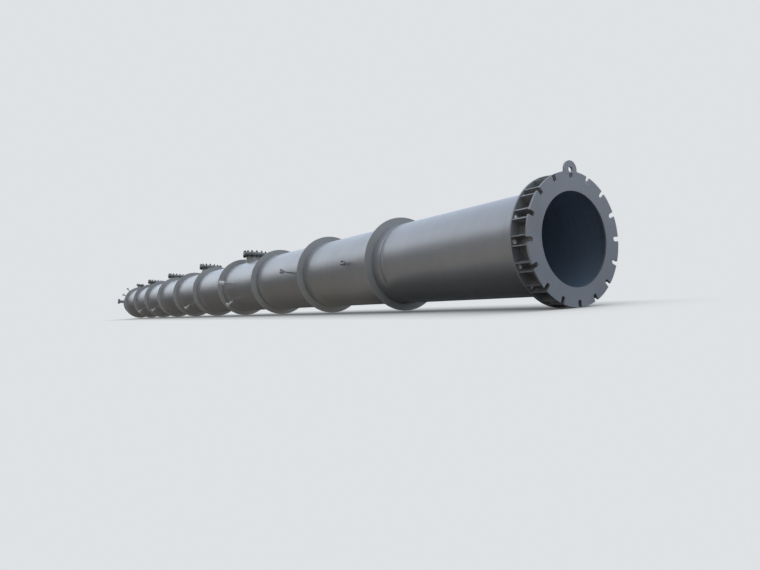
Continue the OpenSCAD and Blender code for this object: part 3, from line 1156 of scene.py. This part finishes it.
@dataclass
class BaseAndSkirt(SubAssembly):
    """The base ring, its chairs and lug, the skirt and the head that it carries.

    Attributes:
        sizes: The column's sizes.
        chairs: Number of anchor chairs.
        gusset: Thickness of a gusset.
        chair_width: Clear width between the two gussets of a chair.
        slot: Width of an anchor slot.
        skirt_wall: Thickness of the skirt.
        head_rim: Height of the bottom head's straight rim.
        seam_angle: Direction of the skirt's upright seam, in degrees.
        fillet_stop: How far a fillet stops short of a gusset's outer edge.
        head_weld_sink: How deep the middle of the weld round the head's rim lies in the plate.
    """

    sizes: ColumnSizes
    chairs: int = 16
    gusset: float = 0.016
    chair_width: float = 0.111
    slot: float = 0.066
    skirt_wall: float = 0.016
    head_rim: float = 0.04
    seam_angle: float = 105.0
    fillet_stop: float = 0.002
    head_weld_sink: float = 0.001

    def build(self) -> None:
        """Makes the welds and dresses the plates."""
        self.dress(BASE_ENAMEL, "base_ring", "tailing_lug", "anchor_gussets", "compression_ring")
        # The primer inside the skirt carries painted blue sky light.
        self.dress(LinedPaint("flake enamel outside and primer inside the skirt",
                              colour=ENAMEL.colour, thin=ENAMEL.thin,
                              lining_radius=self.sizes.shell - self.skirt_wall / 2), "skirt")
        self.dress(PRIMER, "bottom_head")
        self.weld("chair_welds", self.chair_lines(), Bead.CHAIR, "base_paint", seed=3)
        self.weld("skirt_welds", self.ring_lines(), Bead.SKIRT, "base_paint", seed=4)
        self.weld("skirt_head_weld", self.head_lines(), Bead.SKIRT_AND_HEAD, "shell_paint", seed=5)
        self.weld("lug_welds", self.lug_lines(), Bead.LUG_OR_HUB, "base_paint", seed=6)

    def chair_lines(self) -> WeldLines:
        """Finds the fillets on both sides of every gusset.

        Returns:
            The lines.
        """
        lines = WeldLines()
        low, high = self.sizes.chair
        inner, outer = self.sizes.shell, self.sizes.gusset_edge - self.fillet_stop
        for i in range(self.chairs):
            turn = Matrix.Rotation(math.tau * i / self.chairs, 3, "Z")
            for edge in (self.chair_width / 2, self.chair_width / 2 + self.gusset):
                for side in (-1, 1):
                    lateral = Vector((0.0, side, 0.0))
                    away = lateral if edge > self.chair_width / 2 else -lateral
                    foot = math.sqrt(inner ** 2 - edge ** 2)
                    spots = [Vector((x, side * edge, z)) for x, z in
                             ((outer, low), (foot, low), (foot, high), (outer, high))]
                    ways = [away + UP, away + Vector((1.0, 0.0, 0.0)), away - UP]
                    for start, end, way in zip(spots, spots[1:], ways):
                        lines.straight(turn @ start, turn @ end, turn @ way, steps=4)
        return lines

    def ring_lines(self) -> WeldLines:
        """Finds the fillets between the skirt and its two rings, and the skirt's upright seam.

        Returns:
            The lines.
        """
        lines, shell = WeldLines(), self.sizes.shell
        low, high = self.sizes.chair
        lines.circle(UP * low, UP, shell, 45)
        lines.circle(UP * low, UP, shell - self.skirt_wall, 135)
        lines.circle(UP * high, UP, shell, -45)
        lines.circle(UP * self.sizes.deck, UP, shell, 45)
        way = Matrix.Rotation(math.radians(self.seam_angle), 3, "Z") @ Vector((1.0, 0.0, 0.0))
        lines.straight(way * shell + UP * self.sizes.deck, way * shell + UP * self.sizes.skirt_top, way,
                       steps=24)
        return lines

    def lug_lines(self) -> WeldLines:
        """Finds the seams on both faces round the lug's foot, which stop at the anchor slot.

        Returns:
            The lines.
        """
        lines = WeldLines()
        low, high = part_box("tailing_lug")
        edge = math.sqrt(self.sizes.rim ** 2 - high.y ** 2)
        for height, way in ((low.z, -UP), (high.z, UP)):
            for side in (-1, 1):
                slot, corner, rim = (Vector(spot) for spot in (
                    (low.x, side * self.slot / 2, height), (low.x, side * high.y, height),
                    (edge, side * high.y, height)))
                lines.straight(slot, corner, way, steps=8)
                lines.straight(corner, rim, way, steps=4)
        return lines

    def head_lines(self) -> WeldLines:
        """Finds the weld that joins the skirt's top edge to the bottom head.

        Returns:
            The lines.
        """
        lines = WeldLines()
        rim = self.sizes.seams[0] - self.head_rim
        middle = (self.sizes.skirt_top + rim) / 2
        lines.circle(UP * middle, UP, self.sizes.shell - self.head_weld_sink)
        return lines


@dataclass
class PressureShell(SubAssembly):
    """The rolled courses and the top head.

    Attributes:
        sizes: The column's sizes.
        seam_angles: Directions of the upright seams, which step from course to course, in degrees.
    """

    sizes: ColumnSizes
    seam_angles: tuple[float, ...] = (62.0, 152.0, 96.0)

    def build(self) -> None:
        """Makes the seams and dresses the plates."""
        self.dress(ENAMEL, "shell_course_", "top_head")
        self.weld("shell_seams", self.seam_lines(), Bead.SHELL, "shell_paint", seed=7)

    def seam_lines(self) -> WeldLines:
        """Finds the girth seams and one upright seam for each course.

        Returns:
            The lines.
        """
        lines, shell, seams = WeldLines(), self.sizes.shell, self.sizes.seams
        for height in seams:
            lines.circle(UP * height, UP, shell)
        for i, (low, high) in enumerate(zip(seams, seams[1:])):
            angle = math.radians(self.seam_angles[i % len(self.seam_angles)])
            way = Vector((math.cos(angle), math.sin(angle), 0.0))
            lines.straight(way * shell + UP * low, way * shell + UP * high, way, steps=40)
        return lines


@dataclass
class InsulationRings(SubAssembly):
    """The ten flat rings that carry the insulation.

    Attributes:
        sizes: The column's sizes.
    """

    sizes: ColumnSizes

    def build(self) -> None:
        """Makes the fillets and dresses the rings."""
        self.dress(RING_ENAMEL, "insulation_ring_")
        self.weld("ring_welds", self.fillet_lines(), Bead.RING, "ring_paint", seed=9)

    def fillet_lines(self) -> WeldLines:
        """Finds the fillets under and over every ring.

        Returns:
            The lines.
        """
        lines = WeldLines()
        for low, high in self.sizes.rings:
            lines.circle(UP * low, UP, self.sizes.shell, -45)
            lines.circle(UP * high, UP, self.sizes.shell, 45)
        return lines


@dataclass
class Nozzles(SubAssembly):
    """Necks, flanges, covers, gaskets and studs.

    Attributes:
        sizes: The column's sizes.
        hub: Length of the hub behind a large flange.
        gap: Distance between a flange and its cover.
        gasket: Thickness of the gasket's centring ring.
        land: Width of the flange outside the raised face.
        ease: Clearance between a loose piece and what it fits on or between.
        painted_shade_lap: How far the painted shade of a flange reaches over the hub.
        crown_share: Crown radius of the top head, as a share of its diameter.
        stud_end: How far a stud stands out of its nut, as a share of its diameter.
        joints: The joints, found when the piece is built.
    """

    sizes: ColumnSizes
    hub: float = 0.045
    gap: float = 0.005
    gasket: float = 0.003
    land: float = 0.058
    ease: float = 0.001
    painted_shade_lap: float = 0.001
    crown_share: float = 0.9045
    stud_end: float = 0.55
    joints: list[FlangedJoint] = field(default_factory=list)

    def build(self) -> None:
        """Makes the welds, gaskets and studs and dresses the nozzles."""
        self.joints = [FlangedJoint.read(points) for node in ("manway_covers", "nozzle_covers")
                       for points in solids(node)]
        self.dress_flanged(FlangeSize.MANWAY, "manway_1", "manway_2", "manway_3", "manway_4")
        self.dress_flanged(FlangeSize.VENT, "vent_nozzle")
        self.dress_flanged(FlangeSize.REFLUX, "reflux_nozzle")
        self.dress_flanged(FlangeSize.VAPOUR, "vapour_nozzle")
        self.dress(HIGHLIT_COVER_ENAMEL, "manway_covers", "nozzle_covers")
        self.weld("nozzle_welds", self.root_lines(), Bead.NECK, "shell_paint", seed=11)
        self.weld("hub_welds", self.hub_lines(), Bead.LUG_OR_HUB, "shell_paint", seed=12)
        self.add("gaskets", self.gasket_mesh())
        for size in FlangeSize:
            held = [joint for joint in self.joints if joint.size is size]
            if held:
                self.add_studs(f"{size.name.lower()}_studs", held)

    def dress_flanged(self, size: FlangeSize, *nodes: str) -> None:
        """Gives necks their enamel and their flanges a darker tone, which is painted shade.

        Args:
            size: The size that the nozzles share.
            *nodes: The nozzles' nodes.
        """
        joint = next(joint for joint in self.joints if joint.size is size)
        start = joint.face - self.plate(joint) - self.painted_shade_lap
        # The flanges get a darker tone, which is painted shade.
        self.dress(FlangedPaint(
            f"flake enamel on the neck and varnish on the flange of a {size.name.lower()}",
            colour=ENAMEL.colour, thin=ENAMEL.thin, axis=tuple(joint.axis), flange_start=start), *nodes)

    def plate(self, joint: FlangedJoint) -> float:
        """Measures a joint's cover, whose thickness the flange shares.

        Args:
            joint: The joint.

        Returns:
            The thickness.
        """
        return joint.end - joint.face - self.gap

    def root_lines(self) -> WeldLines:
        """Finds the fillets where the necks leave the shell and the crown.

        Returns:
            The lines.
        """
        lines = WeldLines()
        crown_radius = self.crown_share * 2 * self.sizes.shell
        for joint in self.joints:
            neck = joint.size.neck_radius
            if joint.axis == UP:
                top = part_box("top_head")[1].z
                sink = crown_radius - math.sqrt(crown_radius ** 2 - neck ** 2)
                lines.circle(UP * (top - sink), UP, neck, 45, steps=96)
            else:
                lines.saddle(joint.root, joint.axis, neck, self.sizes.shell)
        return lines

    def hub_lines(self) -> WeldLines:
        """Finds the seams between the necks and the hubs of their flanges.

        Returns:
            The lines.
        """
        lines = WeldLines()
        for joint in self.joints:
            start = joint.face - self.plate(joint) - self.hub
            lines.circle(joint.root + joint.axis * start, joint.axis, joint.size.neck_radius, steps=72)
        return lines

    def gasket_mesh(self) -> bpy.types.Mesh:
        """Makes the centring rings of the gaskets, which reach out to the studs.

        Returns:
            All the rings in one mesh.
        """
        work = bmesh.new()
        for joint in self.joints:
            inner = joint.size.flange_radius - self.land - self.ease
            outer = joint.size.circle_radius - joint.size.stud / 2 - self.ease
            low = joint.face + (self.gap - self.gasket) / 2
            high = low + self.gasket
            revolve(work, [(inner, low), (outer, low), (outer, high), (inner, high)], joint,
                    WeldLines.ROUND_STEPS, closed=True)
        return finished(work, "gaskets", GasketSteel("rolled stainless strip of gaskets"))

    def add_studs(self, name: str, joints: list[FlangedJoint]) -> bpy.types.Object:
        """Puts studs and nuts through flanges of one size.

        Args:
            name: The piece's name.
            joints: The joints.

        Returns:
            The piece.
        """
        size = joints[0].size
        grip = 2 * self.plate(joints[0]) + self.gap
        points = bpy.data.meshes.new("joints")
        points.from_pydata([j.root + j.axis * (j.face + self.gap / 2) for j in joints], [], [])
        axes = points.attributes.new("axis", "FLOAT_VECTOR", "POINT")
        axes.data.foreach_set("vector", [value for j in joints for value in j.axis])
        # Heavy hex nuts are half as wide again as their stud, and 3 mm
        across_flats = 1.5 * size.stud + 3 * MM
        mesh = STUDS.apply(points, {
            "Count": size.studs, "Circle Radius": size.circle_radius, "Stud Radius": size.stud / 2,
            "Stud Length": grip + 2 * (1 + self.stud_end) * size.stud,
            "Nut Radius": across_flats / math.sqrt(3), "Nut Height": size.stud,
            "Nut Offset": (grip + size.stud) / 2, "Seed": size.studs,
            "Material": StudSteel("phosphated carbon steel of studs and nuts").material()})
        return self.add(name, mesh)


@dataclass
class Instruments(Nozzles):
    """The small nozzles with their blinds and studs, and what protects them on the road.

    Attributes:
        gap: Distance between a flange and its blind, which stand face to face.
        cap_wall: Thickness of a cap.
        cap_ease: Clearance between a cap and the flange.
        cap_length: How far a cap reaches back from the blind's outer face.
        cap_nose: How far a cap's rounded end stands in front of the blind.
        lip_length: Length of a cap's rolled lip.
        lip_slope: Length over which the lip rises from the cap's wall.
        sleeve_start: Distance between the shell and a sleeve.
        sleeve_shoulder: Length over which a sleeve closes from the flange to the neck.
        sleeve_taper: Length over which it then clings closer.
        sleeve_folds: Depth of the folds in a sleeve.
        lowest_cap: Height above which the front nozzles are capped.
        bare_angle: Direction beyond which the nozzles nearest the manways go bare, in degrees.
        sleeve_angle: Direction beyond which the nozzles carry sleeves instead of caps, in degrees.
    """

    NOSE_STEPS = 6

    gap: float = 0.0
    cap_wall: float = 0.004
    cap_ease: float = 0.0005
    cap_length: float = 0.12
    cap_nose: float = 0.02
    lip_length: float = 0.006
    lip_slope: float = 0.002
    sleeve_start: float = 0.02
    sleeve_shoulder: float = 0.035
    sleeve_taper: float = 0.03
    sleeve_folds: float = 0.006
    lowest_cap: float = 10.0
    bare_angle: float = -45.0
    sleeve_angle: float = -100.0

    def build(self) -> None:
        """Makes the welds, studs, caps and sleeves and dresses the nozzles."""
        self.joints = [FlangedJoint.read(points) for points in solids("instrument_blinds")]
        self.dress(ENAMEL, "instrument_nozzles")
        self.dress(HIGHLIT_COVER_ENAMEL, "instrument_blinds")
        self.weld("instrument_welds", self.root_lines(), Bead.SMALL_NECK, "shell_paint", seed=13)
        self.joints.sort(key=lambda joint: joint.root.z)
        sleeved = [joint for joint in self.joints if self.heading(joint) < self.sleeve_angle]
        capped = [joint for joint in self.joints if joint.root.z > self.lowest_cap
                  and self.sleeve_angle < self.heading(joint) < self.bare_angle]
        bare = [joint for joint in self.joints if joint not in sleeved and joint not in capped]
        self.add_studs("instrument_studs", bare)
        for i, joint in enumerate(capped, 1):
            self.add(f"transport_cap_{i}", self.cap_mesh(joint))
        for i, joint in enumerate(sleeved, 1):
            self.add(f"shrunk_sleeve_{i}", self.sleeve_mesh(joint))

    def heading(self, joint: FlangedJoint) -> float:
        """Finds the direction of a nozzle round the column.

        Args:
            joint: The nozzle's joint.

        Returns:
            The direction, in degrees.
        """
        return math.degrees(math.atan2(joint.axis.y, joint.axis.x))

    def cap_mesh(self, joint: FlangedJoint) -> bpy.types.Mesh:
        """Makes a cap as a turned cup with a rounded nose and a rolled lip.

        Args:
            joint: The joint that carries the cap.

        Returns:
            The cap.
        """
        clear = joint.size.flange_radius + self.cap_ease
        radius, lip = clear + self.cap_wall, clear + 2 * self.cap_wall
        back, nose = joint.end - self.cap_length, joint.end + self.cap_nose
        lip_end, seat = back + self.lip_length, joint.end + self.ease
        curve = [(radius * math.sin(a), nose - self.cap_nose * (1 - math.cos(a)))
                 for a in (math.pi / 2 * i / self.NOSE_STEPS for i in range(self.NOSE_STEPS + 1))]
        outer = curve + [(radius, lip_end + self.lip_slope), (lip, lip_end), (lip, back)]
        inner = [(clear, back), (clear, seat), (0.0, seat)]
        return turned(outer + inner, joint, CapPlastic("blow moulded polyethylene of caps"))

    def sleeve_mesh(self, joint: FlangedJoint) -> bpy.types.Mesh:
        """Makes a sleeve that is shrunk over the flange and its neck, with soft folds.

        Args:
            joint: The joint that carries the sleeve.

        Returns:
            The sleeve.
        """
        flange, neck = joint.size.flange_radius, joint.size.neck_radius
        loose = 2 * self.ease + self.sleeve_folds
        start = self.sizes.shell + self.sleeve_start
        shoulder = joint.face - self.plate(joint)
        waist = shoulder - self.sleeve_shoulder
        outer = [(0.0, joint.end + loose), (flange * 0.7, joint.end + loose),
                 (flange + loose * 0.6, joint.end + loose * 0.4), (flange + loose, joint.face),
                 (flange + loose * 0.6, shoulder), (neck + 2.2 * loose, waist),
                 (neck + 1.6 * loose, waist - self.sleeve_taper),
                 (neck + 1.2 * loose, (waist + start) / 2), (neck + loose, start)]
        at_neck, at_flange = neck + self.ease, flange + self.ease
        behind, seat = shoulder - self.ease, joint.end + self.ease
        inner = [(at_neck, start), (at_neck, behind), (at_flange, behind), (at_flange, seat), (0.0, seat)]
        mesh = turned(outer + inner, joint, CapPlastic(
            "polyethylene shrunk over flanges", colour="#c9c9cb", grime="#8a8580"))
        self.fold(mesh, joint)
        return mesh

    def fold(self, mesh: bpy.types.Mesh, joint: FlangedJoint) -> None:
        """Gives the outside of a sleeve soft folds, about as long as the flange's radius.

        Args:
            mesh: The sleeve.
            joint: The joint that carries it.
        """
        for vert in mesh.vertices:
            along = (vert.co - joint.root).dot(joint.axis)
            spoke = vert.co - joint.root - joint.axis * along
            lift = noise.noise(vert.co / joint.size.flange_radius) * self.sleeve_folds
            # A vertex on the axis has no spoke, and the axis stands in for it
            if vert.normal.dot(spoke + joint.axis * MM) > 0:
                vert.co += vert.normal * lift


# Studio

class LightBand(Enum):
    """Bands of the studio's light round the lying column, from underneath it to high above it.

    The values are how far the band lies towards the bright side of the sky, from -1 to 1, and the
    band's colour at full strength.
    """

    UNDERNEATH = (-0.9, "#1d1a15")
    NEAR_GROUND = (-0.5, "#888279")
    FAR_GROUND = (-0.3, "#64605f")
    DARK_BAND = (-0.16, "#050506")
    HORIZON = (-0.06, "#62636a")
    HAZE = (0.1, "#d0d4db")
    HIGH_HAZE = (0.2, "#c9cfd8")
    SKY = (0.45, "#a9b2bf")
    HIGH_SKY = (1.0, "#939cab")

    def __init__(self, level: float, code: str) -> None:
        """Names the values.

        Args:
            level: How far the band lies towards the bright side.
            code: The band's colour at full strength.
        """
        self.level = level
        self.code = code


@dataclass
class Studio:
    """Floor, backdrop, light and camera.

    Attributes:
        backdrop: Colour of the backdrop.
        bright_side: The way to the bright side of the sky, which lies beyond the column.
        light_strength: Brightness of a white band.
        ground_light: Share of the sky's light that comes back from the ground beyond the column.
        horizon: Between which heights of the light's way the ground gives over to the sky.
        sky_ahead: Colour of the open sky in front of the base.
        ahead: Between which slopes of the light's way along the column that colour takes over.
        camera_place: Where the camera stands.
        camera_look: Where it looks.
        camera_up: Which way the picture's top points.
        camera_reach: How far the camera sees.
        focal_px: Focal length in pixels of the picture's width.
        picture_px: Width of the picture.
        sensor: Width of the sensor, in millimetres.
        floor_size: Side of the floor.
        floor_gap: Distance between the column and the floors, so that no faces coincide.
        board_ends: Between which heights of the column the shade board lies.
    """

    backdrop: str = "#dfe2e5"
    bright_side: Vector = field(default_factory=lambda: Vector((1.0, 1.22, 0.33)))
    light_strength: float = 2.75
    ground_light: float = 0.03
    horizon: tuple[float, float] = (-0.08, 0.3)
    sky_ahead: str = "#9fa7b2"
    ahead: tuple[float, float] = (-0.3, -0.9)
    camera_place: Vector = field(default_factory=lambda: Vector((-0.608, -6.399, -5.106)))
    camera_look: Vector = field(default_factory=lambda: Vector((0.0211, 0.5376, 0.8429)))
    camera_up: Vector = field(default_factory=lambda: Vector((0.9977, 0.0436, -0.0527)))
    camera_reach: float = 500.0
    focal_px: float = 580.0
    picture_px: float = 760.0
    sensor: float = 36.0
    floor_size: float = 90.0
    floor_gap: float = 0.005
    board_ends: tuple[float, float] = (-2.0, 4.6)

    def build(self) -> None:
        """Makes the camera, the light, the floors and the shade board."""
        bpy.context.scene.view_settings.view_transform = "Standard"
        self.add_camera()
        self.add_light()
        low = cad_box[0] - Vector((self.floor_gap, self.floor_gap, self.floor_gap))
        lying = Matrix.Translation((low.x, 0.0, 0.0)) @ Matrix.Rotation(math.pi / 2, 4, "Y")
        upright = Matrix.Translation((0.0, 0.0, low.z))
        self.add_floor("lying_floor", lying)
        self.add_floor("upright_floor", upright)
        self.add_shade_board(low.x - 2 * self.floor_gap)

    def add_camera(self) -> None:
        """Stands the camera beside the base of the lying column, at the photograph's angle."""
        data = bpy.data.cameras.new("camera")
        data.sensor_width = self.sensor
        data.lens = self.focal_px / self.picture_px * self.sensor
        data.clip_end = self.camera_reach
        camera = bpy.data.objects.new("camera", data)
        bpy.context.collection.objects.link(camera)
        look = self.camera_look.normalized()
        right = look.cross(self.camera_up).normalized()
        up = right.cross(look)
        turn = Matrix((right, up, -look)).transposed().to_4x4()
        camera.matrix_world = Matrix.Translation(self.camera_place) @ turn
        bpy.context.scene.camera = camera

    def add_light(self) -> None:
        """Lights the column by a wide soft sky, with the plain backdrop for the camera alone."""
        world = bpy.data.worlds.new("studio")
        world.use_nodes = True
        bpy.context.scene.world = world
        tree = world.node_tree
        tree.nodes.clear()
        way = add_node(tree, "ShaderNodeTexCoord").outputs["Generated"]
        height = add_node(tree, "ShaderNodeVectorMath", {
            0: way, 1: tuple(self.bright_side.normalized())}, operation="DOT_PRODUCT")
        share = add_node(tree, "ShaderNodeMapRange", {
            "Value": height.outputs["Value"], "From Min": -1.0, "From Max": 1.0})
        ramp = add_node(tree, "ShaderNodeValToRGB", {"Fac": share.outputs[0]})
        lay_tones(ramp.color_ramp, [((band.level + 1) / 2, band.code) for band in LightBand])
        upwards = add_node(tree, "ShaderNodeSeparateXYZ", {0: way})
        above = add_node(tree, "ShaderNodeMapRange", {
            "Value": upwards.outputs["X"], "From Min": self.horizon[0], "From Max": self.horizon[1],
            "To Min": self.ground_light}, interpolation_type="SMOOTHSTEP")
        near_side = add_node(tree, "ShaderNodeMath", {
            0: height.outputs["Value"], 1: LightBand.DARK_BAND.level}, operation="LESS_THAN")
        open_to = add_node(tree, "ShaderNodeMath", {
            0: above.outputs[0], 1: near_side.outputs[0]}, operation="MAXIMUM")
        strength = add_node(tree, "ShaderNodeMath", {
            0: open_to.outputs[0], 1: self.light_strength}, operation="MULTIPLY")
        ahead = add_node(tree, "ShaderNodeMapRange", {
            "Value": upwards.outputs["Z"], "From Min": self.ahead[0], "From Max": self.ahead[1]},
            interpolation_type="SMOOTHSTEP")
        share_ahead = add_node(tree, "ShaderNodeMath", {
            0: ahead.outputs[0], 1: above.outputs[0]}, operation="MULTIPLY")
        around = add_node(tree, "ShaderNodeMix", {
            0: share_ahead.outputs[0], 6: ramp.outputs[0], 7: linear(self.sky_ahead)}, data_type="RGBA")
        light = add_node(tree, "ShaderNodeBackground", {
            "Color": around.outputs[2], "Strength": strength.outputs[0]})
        backdrop = add_node(tree, "ShaderNodeBackground", {
            "Color": linear(self.backdrop), "Strength": 1.0})
        seen = add_node(tree, "ShaderNodeLightPath").outputs["Is Camera Ray"]
        both = add_node(tree, "ShaderNodeMixShader", {
            0: seen, 1: light.outputs[0], 2: backdrop.outputs[0]})
        add_node(tree, "ShaderNodeOutputWorld", {"Surface": both.outputs[0]})

    def add_sheet(self, name: str, corners: list[Vector], finish: Finish) -> bpy.types.Object:
        """Adds one flat sheet that is staged and no part of the column.

        Args:
            name: The sheet's name.
            corners: Its four corners in order.
            finish: Its finish.

        Returns:
            The sheet.
        """
        mesh = bpy.data.meshes.new(name)
        mesh.from_pydata(corners, [], [(0, 1, 2, 3)])
        mesh.materials.append(finish.material())
        sheet = bpy.data.objects.new(name, mesh)
        bpy.context.collection.objects.link(sheet)
        log.info("%s: %s, staged", name, finish.name)
        return sheet

    def add_floor(self, name: str, place: Matrix) -> None:
        """Adds one floor, which the camera alone sees.

        Args:
            name: The floor's name.
            place: Where the floor lies, with its own +Z upwards.
        """
        half = self.floor_size / 2
        corners = [place @ Vector((x, y, 0.0)) for x, y in
                   ((-half, -half), (half, -half), (half, half), (-half, half))]
        floor = self.add_sheet(name, corners, FloorGlow("pale studio floor"))
        floor.visible_diffuse = floor.visible_glossy = floor.visible_transmission = False
        floor.visible_shadow = False

    def add_shade_board(self, height: float) -> None:
        """Lays a shade board under the base and the skirt, unseen by the camera.

        Args:
            height: The board's place along +X.
        """
        felt = BoardFelt("felt on the shade board")
        half = felt.half_width
        near, far = self.board_ends
        corners = [Vector((height, y, z)) for y, z in
                   ((-half, near), (half, near), (half, far), (-half, far))]
        self.add_sheet("shade_board", corners, felt).visible_camera = False


def main() -> None:
    """Builds the studio and each sub-assembly in order."""
    logging.basicConfig(level=logging.INFO, format="%(name)s: %(message)s")
    sizes = ColumnSizes.read()
    Studio().build()
    for part in (BaseAndSkirt(sizes), PressureShell(sizes), InsulationRings(sizes), Nozzles(sizes),
                 Instruments(sizes)):
        part.build()


if __name__ == "__main__":
    main()
